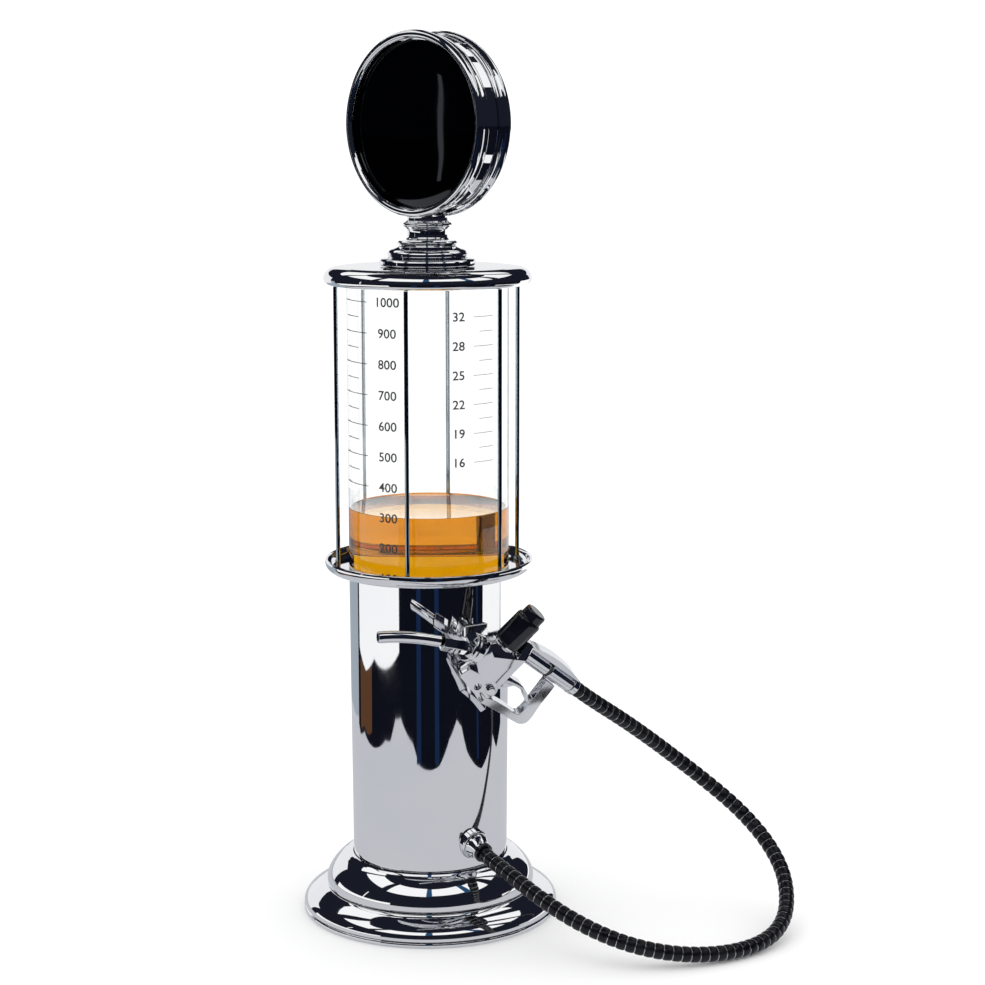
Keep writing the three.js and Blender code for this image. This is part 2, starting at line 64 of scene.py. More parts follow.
CAMERA_PLACE = Vector((1.01917, -0.66186, 0.44372))
CAMERA_AIM = Vector((-0.81105, 0.56139, -0.16445))
camera = bpy.data.objects.new("camera", bpy.data.cameras.new("camera"))
SCENE.collection.objects.link(camera)
camera.location = CAMERA_PLACE
camera.rotation_mode = "QUATERNION"
camera.rotation_quaternion = CAMERA_AIM.to_track_quat("-Z", "Y")
camera.data.sensor_width = 36
camera.data.lens = 80.166
SCENE.camera = camera


# ---- materials ----------------------------------------------------------------------------------


def shader(name, base, metallic=0.0, roughness=(0.3, 0.4), **sockets):
    """A Principled material whose roughness wanders between two values in soft smudges."""
    material = bpy.data.materials.new(name)
    material.use_nodes = True
    tree = material.node_tree
    principled = tree.nodes["Principled BSDF"]
    principled.inputs["Base Color"].default_value = (*base, 1)
    principled.inputs["Metallic"].default_value = metallic
    for socket, value in sockets.items():
        principled.inputs[socket.replace("_", " ")].default_value = value
    place = tree.nodes.new("ShaderNodeTexCoord")
    smudge = noise(tree, place, scale=38, detail=4)
    spread = tree.nodes.new("ShaderNodeMapRange")
    spread.inputs["From Min"].default_value = 0.3
    spread.inputs["From Max"].default_value = 0.7
    spread.inputs["To Min"].default_value = roughness[0]
    spread.inputs["To Max"].default_value = roughness[1]
    tree.links.new(smudge.outputs["Fac"], spread.inputs["Value"])
    tree.links.new(spread.outputs["Result"], principled.inputs["Roughness"])
    return material, tree, principled, place


def noise(tree, place, scale, detail=2.0, stretch=(1, 1, 1)):
    mapping = tree.nodes.new("ShaderNodeMapping")
    mapping.inputs["Scale"].default_value = stretch
    texture = tree.nodes.new("ShaderNodeTexNoise")
    texture.inputs["Scale"].default_value = scale
    texture.inputs["Detail"].default_value = detail
    tree.links.new(place.outputs["Object"], mapping.inputs["Vector"])
    tree.links.new(mapping.outputs["Vector"], texture.inputs["Vector"])
    return texture


def bump(tree, principled, texture, strength, distance):
    node = tree.nodes.new("ShaderNodeBump")
    node.inputs["Strength"].default_value = strength
    node.inputs["Distance"].default_value = distance
    tree.links.new(texture.outputs["Fac"], node.inputs["Height"])
    tree.links.new(node.outputs["Normal"], principled.inputs["Normal"])


def tint(tree, principled, texture, dark, light):
    """Colour that wanders between two tones with the texture."""
    ramp = tree.nodes.new("ShaderNodeValToRGB")
    ramp.color_ramp.elements[0].position = 0.35
    ramp.color_ramp.elements[0].color = (*dark, 1)
    ramp.color_ramp.elements[1].position = 0.65
    ramp.color_ramp.elements[1].color = (*light, 1)
    tree.links.new(texture.outputs["Fac"], ramp.inputs["Fac"])
    tree.links.new(ramp.outputs["Color"], principled.inputs["Base Color"])


def make_chrome():
    material, tree, principled, place = shader("chrome", (0.9, 0.91, 0.93), 1.0, (0.012, 0.05))
    tint(tree, principled, noise(tree, place, 14, 3), (0.87, 0.885, 0.91), (0.92, 0.925, 0.935))
    bump(tree, principled, noise(tree, place, 420, 1), 0.04, 0.00002)
    return material


def make_rod_chrome():
    """A darker chrome for the thin rods of the cage."""
    material, tree, principled, place = shader("rod_chrome", (0.32, 0.36, 0.42), 1.0, (0.03, 0.08))
    drift = noise(tree, place, 7, 2, stretch=(1, 1, 1.6))
    tint(tree, principled, drift, (0.22, 0.26, 0.33), (0.34, 0.41, 0.45))
    bump(tree, principled, noise(tree, place, 300, 1), 0.05, 0.00002)
    return material


def make_cast_chrome():
    material, tree, principled, place = shader("cast_chrome", (0.9, 0.91, 0.93), 1.0, (0.04, 0.13))
    tint(tree, principled, noise(tree, place, 30, 3), (0.84, 0.855, 0.88), (0.92, 0.925, 0.935))
    bump(tree, principled, noise(tree, place, 260, 2), 0.12, 0.00006)
    return material


def make_steel():
    material, tree, principled, place = shader("plain_steel", (0.55, 0.56, 0.58), 1.0, (0.22, 0.4))
    lines = noise(tree, place, 90, 2, stretch=(1, 1, 14))
    tint(tree, principled, lines, (0.45, 0.46, 0.48), (0.64, 0.65, 0.67))
    bump(tree, principled, lines, 0.25, 0.00004)
    return material


def make_mirror():
    material, tree, principled, place = shader("dark_mirror", (0.02, 0.021, 0.025), 1.0, (0.02, 0.06))
    tint(tree, principled, noise(tree, place, 9, 3), (0.016, 0.017, 0.021), (0.026, 0.028, 0.034))
    principled.inputs["Coat Weight"].default_value = 0.25
    principled.inputs["Coat Roughness"].default_value = 0.02
    bump(tree, principled, noise(tree, place, 60, 1), 0.05, 0.00003)
    return material


def make_glass():
    material, tree, principled, place = shader(
        "clear_glass", (0.985, 0.995, 0.99), 0.0, (0.0, 0.012), Transmission_Weight=1.0, IOR=1.47
    )
    bump(tree, principled, noise(tree, place, 16, 1, stretch=(1, 1, 0.3)), 0.03, 0.0001)
    return material


def make_amber():
    material, tree, principled, place = shader(
        "amber_drink", (0.7, 0.24, 0.01), 0.0, (0.0, 0.01), Transmission_Weight=1.0, IOR=1.34
    )
    swirl = noise(tree, place, 22, 3, stretch=(1, 1, 2.5))
    tint(tree, principled, swirl, (0.6, 0.2, 0.004), (0.7, 0.26, 0.01))
    return material


def make_satin_with_painted_glow():
    """The tank's cup: satin metal with a painted yellow glow, stronger at the floor, that stands in for
    light in the drink.
    """
    material, tree, principled, place = shader("satin_metal_painted_glow", (0.8, 0.8, 0.79), 0.3, (0.3, 0.45))
    tint(tree, principled, noise(tree, place, 60, 3), (0.74, 0.74, 0.73), (0.84, 0.84, 0.83))
    # Painted glow: a yellow emission that makes the cup shine though it is no lamp, strongest at its
    # floor.
    principled.inputs["Emission Color"].default_value = (0.62, 1, 0.1, 1)
    height = tree.nodes.new("ShaderNodeSeparateXYZ")
    painted_glow_fade = tree.nodes.new("ShaderNodeMapRange")
    painted_glow_fade.inputs["From Min"].default_value = 0.1832
    painted_glow_fade.inputs["From Max"].default_value = 0.188
    painted_glow_fade.inputs["To Min"].default_value = 1.6
    painted_glow_fade.inputs["To Max"].default_value = 1.2
    tree.links.new(place.outputs["Object"], height.inputs["Vector"])
    tree.links.new(height.outputs["Z"], painted_glow_fade.inputs["Value"])
    tree.links.new(painted_glow_fade.outputs["Result"], principled.inputs["Emission Strength"])
    bump(tree, principled, noise(tree, place, 400, 2), 0.15, 0.00003)
    return material


def make_silicone():
    material, tree, principled, place = shader("silicone", (0.8, 0.81, 0.79), 0.0, (0.35, 0.5))
    tint(tree, principled, noise(tree, place, 40, 3), (0.74, 0.75, 0.73), (0.84, 0.85, 0.83))
    bump(tree, principled, noise(tree, place, 500, 2), 0.15, 0.00003)
    return material


def make_rubber():
    material, tree, principled, place = shader("black_rubber", (0.02, 0.02, 0.022), 0.0, (0.45, 0.65))
    tint(tree, principled, noise(tree, place, 120, 4), (0.014, 0.014, 0.016), (0.032, 0.032, 0.035))
    bump(tree, principled, noise(tree, place, 900, 3), 0.4, 0.00005)
    return material


def make_hose_skin():
    material, tree, principled, place = shader("hose_skin", (0.004, 0.004, 0.006), 0.0, (0.2, 0.34))
    tint(tree, principled, noise(tree, place, 150, 3), (0.002, 0.002, 0.004), (0.006, 0.006, 0.009))
    principled.inputs["Specular IOR Level"].default_value = 0.3
    bump(tree, principled, noise(tree, place, 700, 2), 0.25, 0.00004)
    return material


def make_plastic():
    material, tree, principled, place = shader("gloss_black", (0.003, 0.003, 0.005), 0.0, (0.05, 0.14))
    tint(tree, principled, noise(tree, place, 70, 3), (0.002, 0.002, 0.004), (0.005, 0.005, 0.009))
    principled.inputs["Coat Weight"].default_value = 0.15
    bump(tree, principled, noise(tree, place, 300, 2), 0.08, 0.00003)
    return material


def make_ink():
    material, tree, principled, place = shader("printed_ink", (0.02, 0.022, 0.026), 0.0, (0.4, 0.6))
    tint(tree, principled, noise(tree, place, 300, 3), (0.015, 0.017, 0.02), (0.05, 0.052, 0.058))
    bump(tree, principled, noise(tree, place, 900, 2), 0.2, 0.00002)
    return material


CHROME = make_chrome()
CAST = make_cast_chrome()
ROD = make_rod_chrome()
STEEL = make_steel()
# Satin metal for the tank's cup, with a painted yellow glow.
SATIN_PAINTED_GLOW = make_satin_with_painted_glow()
MIRROR = make_mirror()
GLASS = make_glass()
AMBER = make_amber()
SILICONE = make_silicone()
RUBBER = make_rubber()
HOSE_SKIN = make_hose_skin()
PLASTIC = make_plastic()
INK = make_ink()


# ---- mesh helpers -------------------------------------------------------------------------------

SWEEP_SIDES = 24


def spline(points, per_span=6):
    """Points along a smooth curve through the given ones."""
    points = [Vector(p) for p in points]
    padded = [points[0] * 2 - points[1], *points, points[-1] * 2 - points[-2]]
    found = [points[0]]
    for a, b, c, d in zip(padded, padded[1:], padded[2:], padded[3:]):
        times = [0.0]
        for p, q in ((a, b), (b, c), (c, d)):
            times.append(times[-1] + max((q - p).length, 1e-9) ** 0.5)
        for i in range(1, per_span + 1):
            found.append(between(a, b, c, d, times, times[1] + (times[2] - times[1]) * i / per_span))
    return found


def between(a, b, c, d, t, at):
    """One point of a centripetal Catmull-Rom curve."""

    def mix(p, q, low, high):
        return p * ((high - at) / (high - low)) + q * ((at - low) / (high - low))

    first, second, third = mix(a, b, t[0], t[1]), mix(b, c, t[1], t[2]), mix(c, d, t[2], t[3])
    return mix(mix(first, second, t[0], t[2]), mix(second, third, t[1], t[3]), t[1], t[2])


def smoothed(points):
    """Replaces each run of points marked "c" by a curve. Returns [(point, is_corner)]."""
    found, i = [], 0
    while i < len(points):
        found.append((Vector(points[i][:2]), True))
        j = i + 1
        while j < len(points) and len(points[j]) == 3:
            j += 1
        if j > i + 1:
            stop = points[j % len(points)][:2]
            run = spline([points[i][:2], *[p[:2] for p in points[i + 1 : j]], stop])
            found += [(p, False) for p in run[1:-1]]
        i = j
    return found


def outline(points, fillet, closed=True, steps=3):
    """Outline with curved runs, round corners and a short flat stretch beside each corner."""
    marked = smoothed(points)
    count = len(marked)
    found = []
    for i, (p, corner) in enumerate(marked):
        at_end = not closed and i in (0, count - 1)
        before, after = marked[i - 1][0] - p, marked[(i + 1) % count][0] - p
        reach = 0 if at_end else min(fillet, 0.42 * before.length, 0.42 * after.length)
        if not corner or at_end or reach < 0.01 or before.angle(after) > math.radians(168):
            found.append(p)
            continue
        lead = min(0.12, 0.2 * reach)
        start, end = p + before.normalized() * reach, p + after.normalized() * reach
        found.append(start + before.normalized() * lead)
        for k in range(steps + 1):
            t = k / steps
            found.append(start * (1 - t) ** 2 + p * (2 * t * (1 - t)) + end * t**2)
        found.append(end + after.normalized() * lead)
    return found


def new_piece(name, mesh, material, smooth_angle=40):
    for polygon in mesh.polygons:
        polygon.use_smooth = True
    mesh.set_sharp_from_angle(angle=math.radians(smooth_angle))
    mesh.materials.append(material)
    piece = bpy.data.objects.new(name, mesh)
    SCENE.collection.objects.link(piece)
    return piece


def mesh_of(name, points, faces, matrix=None):
    """Closed mesh from points in millimetres."""
    mesh = bpy.data.meshes.new(name)
    mesh.from_pydata([Vector(p) * MM for p in points], [], faces)
    work = bmesh.new()
    work.from_mesh(mesh)
    bmesh.ops.remove_doubles(work, verts=work.verts, dist=1e-7)
    bmesh.ops.dissolve_degenerate(work, edges=work.edges, dist=1e-8)
    bmesh.ops.recalc_face_normals(work, faces=work.faces)
    work.to_mesh(mesh)
    work.free()
    if matrix is not None:
        mesh.transform(matrix)
    return mesh


def lathe(name, profile, material, fillet=0.3, segments=96, matrix=None):
    """Turns an outline of (radius, height) about Z. It closes on itself or ends on the axis."""
    on_axis = profile[0][0] == 0 and profile[-1][0] == 0
    ring = outline(profile, fillet, closed=not on_axis)
    points, faces, rows = [], [], []
    for p in ring:
        if p.x < 1e-6:
            rows.append([len(points)] * segments)
            points.append((0, 0, p.y))
            continue
        rows.append(list(range(len(points), len(points) + segments)))
        for k in range(segments):
            angle = 2 * math.pi * k / segments
            points.append((p.x * math.cos(angle), p.x * math.sin(angle), p.y))
    pairs = list(zip(rows, rows[1:])) + ([] if on_axis else [(rows[-1], rows[0])])
    for low, high in pairs:
        for k in range(segments):
            n = (k + 1) % segments
            face = list(dict.fromkeys([low[k], low[n], high[n], high[k]]))
            if len(face) > 2:
                faces.append(face)
    return new_piece(name, mesh_of(name, points, faces, matrix), material)


def plate(name, points, low, high, material, bevel=0.4, corner=0.5, matrix=None, segments=3):
    """A plate with the given outline between two heights, with rounded edges."""
    ring = outline(points, corner)
    count = len(ring)
    corners = [(p.x, p.y, low) for p in ring] + [(p.x, p.y, high) for p in ring]
    faces = [list(range(count))[::-1], list(range(count, 2 * count))]
    for i in range(count):
        n = (i + 1) % count
        faces.append([i, n, count + n, count + i])
    piece = new_piece(name, mesh_of(name, corners, faces, matrix), material)
    if bevel:
        round_edges(piece, bevel, segments)
    return piece


def round_edges(piece, width, segments=3, angle=50):
    """Rounds a piece's sharp edges, in millimetres."""
    modifier = piece.modifiers.new("round", "BEVEL")
    modifier.width = width * MM
    modifier.segments = segments
    modifier.limit_method = "ANGLE"
    modifier.angle_limit = math.radians(angle)
    modifier.harden_normals = True
    modifier.use_clamp_overlap = True
    settle(piece)


def settle(piece):
    """Makes a piece's modifiers part of its mesh."""
    evaluated = piece.evaluated_get(bpy.context.evaluated_depsgraph_get())
    mesh = bpy.data.meshes.new_from_object(evaluated)
    piece.modifiers.clear()
    old = piece.data
    piece.data = mesh
    bpy.data.meshes.remove(old)


def combine(piece, tool, operation):
    """Cuts the tool out of a piece or joins it on, and removes the tool."""
    modifier = piece.modifiers.new("combine", "BOOLEAN")
    modifier.operation = operation
    modifier.solver = "EXACT"
    modifier.object = tool
    settle(piece)
    mesh = tool.data
    bpy.data.objects.remove(tool)
    bpy.data.meshes.remove(mesh)
    piece.data.set_sharp_from_angle(angle=math.radians(40))


def swept(name, path, section, material):
    """Sweeps round sections along a path in millimetres. section(i) gives the radius at a ring."""
    sides = SWEEP_SIDES
    points, faces = [], []
    across = None
    for i, p in enumerate(path):
        along = (path[min(i + 1, len(path) - 1)] - path[max(i - 1, 0)]).normalized()
        if across is None:
            across = along.orthogonal().normalized()
        across = (across - along * across.dot(along)).normalized()
        up = along.cross(across)
        radius = section(i)
        for k in range(sides):
            angle = 2 * math.pi * k / sides
            points.append(p + (across * math.cos(angle) + up * math.sin(angle)) * radius)
    for i in range(len(path) - 1):
        for k in range(sides):
            n = (k + 1) % sides
            faces.append([i * sides + k, i * sides + n, (i + 1) * sides + n, (i + 1) * sides + k])
    faces.append(list(range(sides))[::-1])
    faces.append([(len(path) - 1) * sides + k for k in range(sides)])
    return new_piece(name, mesh_of(name, points, faces), material)


def show(piece, body, *nodes):
    """The piece rides on a body and stands for CAD nodes, which it hides."""
    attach(piece, body)
    if nodes:
        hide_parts(*nodes)
    return piece


# ---- nozzle's frame -----------------------------------------------------------------------------

GRIP_AXIS = 14.1
KNOB_AXIS = 9.9
PIVOT = (22.0, -13.4)
STEM_AXIS = -4.6


def nozzle_matrix():
    """Local X runs along the grip to the hose, Y up to the knob and Z out from the column."""
    slope, lean = math.radians(36), math.radians(27)
    along = Vector((0, math.cos(slope), -math.sin(slope)))
    upright = Vector((0, math.sin(slope), math.cos(slope)))
    knob_side = upright * math.cos(lean) + Vector((math.sin(lean), 0, 0))
    outer = along.cross(knob_side)
    matrix = Matrix((along, knob_side, outer)).transposed().to_4x4()
    matrix.translation = Vector((65.4, -11.2, 165.0)) * MM
    return matrix


NOZZLE = nozzle_matrix()
ALONG = Matrix.Rotation(math.radians(90), 4, "Y")
ACROSS = Matrix.Rotation(math.radians(-90), 4, "X")


def outlet_matrix():
    """Local Z runs out of the column's wall, down towards +X."""
    return Matrix.Translation(Vector((44.0, 0, 48.3)) * MM) @ Matrix.Rotation(
        math.radians(105), 4, "Y"
    )


OUTLET = outlet_matrix()


# ---- hose ---------------------------------------------------------------------------------------

SLEEVE_PITCH = 5.0
SLEEVE_RADII = [3.8, 4.1, 4.24, 4.3, 4.3, 4.3, 4.28, 4.26, 4.22, 4.18, 4.05, 3.8]
# The centreline between the two fittings, in metres, as in the CAD part.
HOSE_ROUTE = [
    (0.0692, 0.0008, 0.0415), (0.0819, 0.0024, 0.0378), (0.0934, 0.0049, 0.0335),
    (0.1040, 0.0082, 0.0292), (0.1138, 0.0124, 0.0250), (0.1228, 0.0173, 0.0212),
    (0.1312, 0.0231, 0.0176), (0.1389, 0.0299, 0.0143), (0.1459, 0.0376, 0.0115),
    (0.1523, 0.0464, 0.0091), (0.1577, 0.0562, 0.0072), (0.1621, 0.0671, 0.0058),
    (0.1652, 0.0792, 0.0049), (0.1666, 0.0925, 0.0046), (0.1657, 0.1067, 0.0051),
    (0.1618, 0.1210, 0.0071), (0.1545, 0.1340, 0.0114), (0.1443, 0.1446, 0.0180),
    (0.1336, 0.1515, 0.0256), (0.1232, 0.1546, 0.0332), (0.1135, 0.1548, 0.0407),
    (0.1046, 0.1526, 0.0482), (0.0967, 0.1485, 0.0557), (0.0897, 0.1427, 0.0632),
    (0.0839, 0.1355, 0.0708), (0.0793, 0.1271, 0.0787), (0.0758, 0.1178, 0.0867),
    (0.0734, 0.1077, 0.0950), (0.0719, 0.0968, 0.1034), (0.0713, 0.0853, 0.1117),
]


def spaced(points, pitch):
    """Points at an even pitch along a finely cut line."""
    found, left = [points[0].copy()], pitch
    for a, b in zip(points, points[1:]):
        step = (b - a).length
        at = left
        while at <= step:
            found.append(a.lerp(b, at / step))
            at += pitch
        left = at - step
    return found


def make_hose():
    """A hose of short overlapping sleeves, with a bright liner between one and the next."""
    ends = [OUTLET @ (Vector((0, 0, z)) * MM) for z in (11.75, 18.0)]
    tail = [NOZZLE @ (Vector((x, GRIP_AXIS, 0)) * MM) for x in (78.0, 65.35)]
    route = [p * 1000 for p in [*ends, *[Vector(p) for p in HOSE_ROUTE], *tail]]
    fine = spline(route, 40)
    length = sum((b - a).length for a, b in zip(fine, fine[1:]))
    sleeves = round(length / SLEEVE_PITCH)
    steps = len(SLEEVE_RADII)
    line = spaced(fine, length / (sleeves * steps) * 0.99999)
    hose = swept("ribbed_hose", line, lambda i: SLEEVE_RADII[i % steps], HOSE_SKIN)
    hose.data.materials.append(STEEL)
    for polygon in hose.data.polygons:
        first, last = min(polygon.vertices) // SWEEP_SIDES, max(polygon.vertices) // SWEEP_SIDES
        if last - first == 1 and first % steps == steps - 1:
            polygon.material_index = 1
    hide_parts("hose")
    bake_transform(hose)
    return hose


make_hose()


# ---- base and column ----------------------------------------------------------------------------


def make_base():
    show(lathe("rubber_foot", [(0, 0), (69, 0), (69, 2), (0, 2)], RUBBER, 0.5), "stand", "foot_pad")
    show(lathe("base_lower_ovolo", [
        (69.4, 0.6), (71.6, 0.6), (72.5, 1.0, "c"), (72.7, 1.8, "c"), (72.4, 2.7, "c"), (71.8, 3.1),
        (72.5, 4.2, "c"), (72.3, 6.2, "c"), (70.6, 8.8, "c"), (67.2, 11.3, "c"), (63.2, 13.4, "c"),
        (60.3, 14.5), (59.6, 14.8), (47, 14.8), (47, 13.2), (59, 13.2), (65.8, 10.1), (70.5, 5.8),
        (70.4, 2.2),
    ], CHROME, 0.35, 128), "stand", "base_lower_step")
    show(lathe("base_upper_ovolo", [
        (57.6, 15.1), (58.8, 15.1), (59.35, 16.0, "c"), (59.4, 17.6, "c"), (58.9, 20.5, "c"),
        (57.1, 24.2, "c"), (54.0, 28.2, "c"), (50.7, 31.2, "c"), (48.2, 32.7), (46.6, 33.3, "c"),
        (45.4, 33.5), (44.3, 33.5), (44.3, 31.8), (46.9, 31.5), (52.6, 26.9), (57.2, 20), (57.7, 16.8),
    ], CHROME, 0.3, 128), "stand", "base_upper_step")
    show(lathe("column_tube", [
        (42.8, 15.1), (43.8, 15.1), (45.0, 196.2), (44.0, 196.2),
    ], CHROME, 0.3, 160), "stand", "column_shell")


# ---- tank ---------------------------------------------------------------------------------------

ROD_ANGLES = [44.25 + 60 * i for i in range(6)]


def make_tank():
    show(lathe("tank_ring", [
        (43.8, 196.5), (46.5, 196.5), (51.5, 196.9, "c"), (55.4, 198.1, "c"), (57.7, 200.2, "c"),
        (58.5, 202.8, "c"), (58.2, 204.3, "c"), (57.6, 204.6, "c"), (56.9, 204.1, "c"),
        (56.2, 201.7, "c"), (54.6, 199.9, "c"), (52.4, 199.4), (43.8, 199.4),
    ], CHROME, 0.3, 128), "stand", "rod_ring")
    for i, angle in enumerate(ROD_ANGLES):
        foot = direction(angle) * 52.8 * MM
        rod = lathe(f"cage_rod_{i + 1}", [
            (0, 199.6), (2.0, 199.6), (2.0, 201.2), (1.25, 201.8, "c"), (1.2, 203.0), (1.2, 357.8),
            (0, 357.8),
        ], ROD, 0.3, 32, Matrix.Translation(foot))
        show(rod, "stand", f"rod_{i + 1}")
    for name, node, inner, low, high in (
        ("lower_seal_ring", "lower_gasket", 43.7, 199.6, 200.7),
        ("upper_seal_ring", "upper_gasket", 43.2, 361.6, 362.8),
    ):
        ring = [(inner, low), (45, low), (45, high), (inner, high)]
        show(lathe(name, ring, SILICONE, 0.3), "stand", node)
    show(lathe("tank_glass", [
        (43.5, 200.9), (45, 200.9), (45, 361.4), (43.5, 361.4),
    ], GLASS, 0.5, 160), "stand", "glass_tube")
    # The cup's finish carries a painted yellow glow, strongest at its floor.
    show(lathe("tank_floor_cup", [
        (2.6, 171), (4.4, 171), (4.4, 181.8), (43.3, 181.8), (43.3, 200.4), (42.6, 200.4),
        (42.6, 183), (2.6, 183),
    ], SATIN_PAINTED_GLOW, 0.5), "stand", "tank_cup")
    show(lathe("amber_liquid", [
        (0, 183.2), (42.3, 183.2), (42.3, 200.6), (43.56, 200.9), (43.56, 234.1), (43.2, 233.7, "c"),
        (42.3, 233.5), (0, 233.5),
    ], AMBER, 0.25, 160), "stand", "liquid_fill")
    show(lathe("tank_cap", [
        (45.4, 358), (53.8, 358), (55.9, 358.5, "c"), (57.3, 359.8, "c"), (57.65, 361.4, "c"),
        (57.2, 363.5, "c"), (55.8, 365.6, "c"), (53.2, 367.2, "c"), (49.5, 367.9), (40, 368.1),
        (15, 368.1), (15, 366.5), (42.8, 366.5), (42.8, 363.1), (45.4, 363.1),
    ], CHROME, 0.3, 128), "stand", "cap_shell")


# ---- printed marks on the glass -----------------------------------------------------------------

INK_RADII = (45.02, 45.1)


def wrapped(name, shapes):
    """Joins flat shapes of (vertices, faces) in degrees and millimetres onto the glass."""
    points, faces = [], []
    for corners, polygons in shapes:
        first = len(points)
        for angle, height in corners:
            for radius in INK_RADII:
                points.append(direction(angle) * radius + Vector((0, 0, height)))
        for polygon in polygons:
            inner = [first + 2 * i for i in polygon]
            outer = [first + 2 * i + 1 for i in polygon]
            faces.append(inner[::-1])
            faces.append(outer)
        for a, b in borders(polygons):
            faces.append([first + 2 * a, first + 2 * b, first + 2 * b + 1, first + 2 * a + 1])
    mesh = bpy.data.meshes.new(name)
    mesh.from_pydata([p * MM for p in points], [], faces)
    piece = bpy.data.objects.new(name, mesh)
    mesh.materials.append(INK)
    SCENE.collection.objects.link(piece)
    return show(piece, "stand")


def borders(polygons):
    """Edges that belong to one polygon only."""
    edges = {}
    for polygon in polygons:
        for a, b in zip(polygon, [*polygon[1:], polygon[0]]):
            edges[frozenset((a, b))] = edges.get(frozenset((a, b)), []) + [(a, b)]
    return [sides[0] for sides in edges.values() if len(sides) == 1]


def number_shape(text, height, angle, z):
    """A printed number, as a flat shape centred on an angle and a height of the glass."""
    curve = bpy.data.curves.new("number", "FONT")
    curve.body = text
    curve.size = height / 0.7
    curve.align_x = "CENTER"
    curve.align_y = "CENTER"
    curve.resolution_u = 3
    curve.offset = 0.012 * curve.size
    letter = bpy.data.objects.new("number", curve)
    SCENE.collection.objects.link(letter)
    evaluated = letter.evaluated_get(bpy.context.evaluated_depsgraph_get())
    mesh = bpy.data.meshes.new_from_object(evaluated)
    wide = 1.08
    per_mm = math.degrees(1 / 45.05)
    corners = [(angle + v.co.x * wide * per_mm, z + v.co.y) for v in mesh.vertices]
    polygons = [list(p.vertices) for p in mesh.polygons]
    bpy.data.objects.remove(letter)
    bpy.data.curves.remove(curve)
    bpy.data.meshes.remove(mesh)
    return corners, polygons


def tick_shape(start, end, z, thick=0.32):
    """A printed line round the glass between two angles."""
    parts = 6
    angles = [start + (end - start) * i / parts for i in range(parts + 1)]
    corners = [(a, z + side) for a in angles for side in (-thick / 2, thick / 2)]
    return corners, [[2 * i, 2 * i + 2, 2 * i + 3, 2 * i + 1] for i in range(parts)]


MARK_400 = 250.0
MARK_16 = 264.0
STEP_100 = 16.76


def make_marks():
    """Numbers and lines on the left in hundreds and fifties, and a plain scale on the right."""
    left, right = [], []
    for step in range(13):
        z = MARK_400 + STEP_100 * step / 2
        whole = step % 2 == 0
        left.append(tick_shape(-25 if whole else -20, 10 if whole else 0, z, 0.4))
        if whole:
            left.append(number_shape(str(400 + 50 * step), 5.0, 27.5, z))
    for step in range(11):
        z = MARK_16 + 7.9 * step
        whole = step % 2 == 0
        right.append(tick_shape(90 if whole else 95, 108, z, 0.26))
        if whole:
            right.append(number_shape(str(16 + step * 8 // 5), 4.8, 78.5, z))
    for step in range(3):
        z = MARK_400 - STEP_100 * (3 - step)
        left.append(number_shape(str(100 + 100 * step), 5.0, 27.5, z))
    wrapped("tank_marks_left", left)
    wrapped("tank_marks_right", right)


# ---- outlet and inner parts ---------------------------------------------------------------------


def make_outlet():
    boss = lathe("outlet_seat", [
        (5.2, -4), (8.5, -4), (8.5, 2.0), (8.0, 2.6), (5.2, 2.6),
    ], CHROME, 0.4, 48, OUTLET)
    drum = lathe("column_space", [(0, 0.5), (44.3, 0.5), (44.3, 100), (0, 100)], CHROME, 0, 150)
    combine(boss, drum, "DIFFERENCE")
    show(boss, "stand", "outlet_boss")
    show(lathe("outlet_nipple", [
        (2.4, -8), (4.9, -8), (4.9, 2.9), (7.4, 2.9), (7.2, 4.2), (6.2, 6.2, "c"), (5.5, 8.0, "c"),
        (5.4, 9.3), (2.4, 9.3),
    ], CHROME, 0.3, 64, OUTLET), "stand", "outlet_stub")
    show(lathe("hose_end_ring", [
        (2.4, 9.6), (5.5, 9.6), (5.5, 11.4), (2.4, 11.4),
    ], PLASTIC, 0.4, 48, OUTLET), "stand", "hose_collar")


HIDDEN_NODES = {
    "base_plate": STEEL, "column_floor": STEEL, "base_bolt_1": STEEL, "base_bolt_2": STEEL,
    "base_bolt_3": STEEL, "outlet_locknut": STEEL, "feed_tube": SILICONE, "head_stud": STEEL,
}


def dress_hidden_nodes():
    for name, material in HIDDEN_NODES.items():
        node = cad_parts[name]
        node.data.materials.clear()
        node.data.materials.append(material)


# ---- lid and head -------------------------------------------------------------------------------


def make_lid():
    show(lathe("lid_plug", [
        (3.3, 356), (12.6, 356), (14, 357.6), (14, 358.8), (12.6, 358.8), (12.6, 363.7), (14, 363.7),
        (14, 368.1), (3.3, 368.1),
    ], CHROME, 0.3), "lid", "filler_plug")
    show(lathe("lid_seal_ring", [
        (12.8, 359), (14.2, 359), (14.7, 361.2, "c"), (14.2, 363.5), (12.8, 363.5),
    ], SILICONE, 0.3), "lid", "plug_seal")
    show(lathe("lid_stepped_flange", [
        (3.3, 368.4), (26.0, 368.4), (26.8, 369.0), (26.8, 371.0), (26.2, 371.9, "c"), (25.0, 372.3),
        (22.4, 372.6), (21.6, 373.2), (22.2, 373.9, "c"), (22.35, 374.8, "c"), (21.9, 376.0, "c"),
        (20.6, 377.1, "c"), (18.9, 377.7), (17.2, 378.3), (16.0, 378.9), (15.75, 379.6),
        (16.6, 380.3, "c"), (16.7, 381.1, "c"), (15.9, 382.0), (3.3, 382.0),
    ], CHROME, 0.25), "lid", "lid_flange")


def head_matrix():
    """Local Z is the normal of the head's front face."""
    return (
        Matrix.Translation((0, 0, 0.44515))
        @ Matrix.Rotation(math.radians(14.25), 4, "Z")
        @ Matrix.Rotation(math.radians(90), 4, "X")
    )


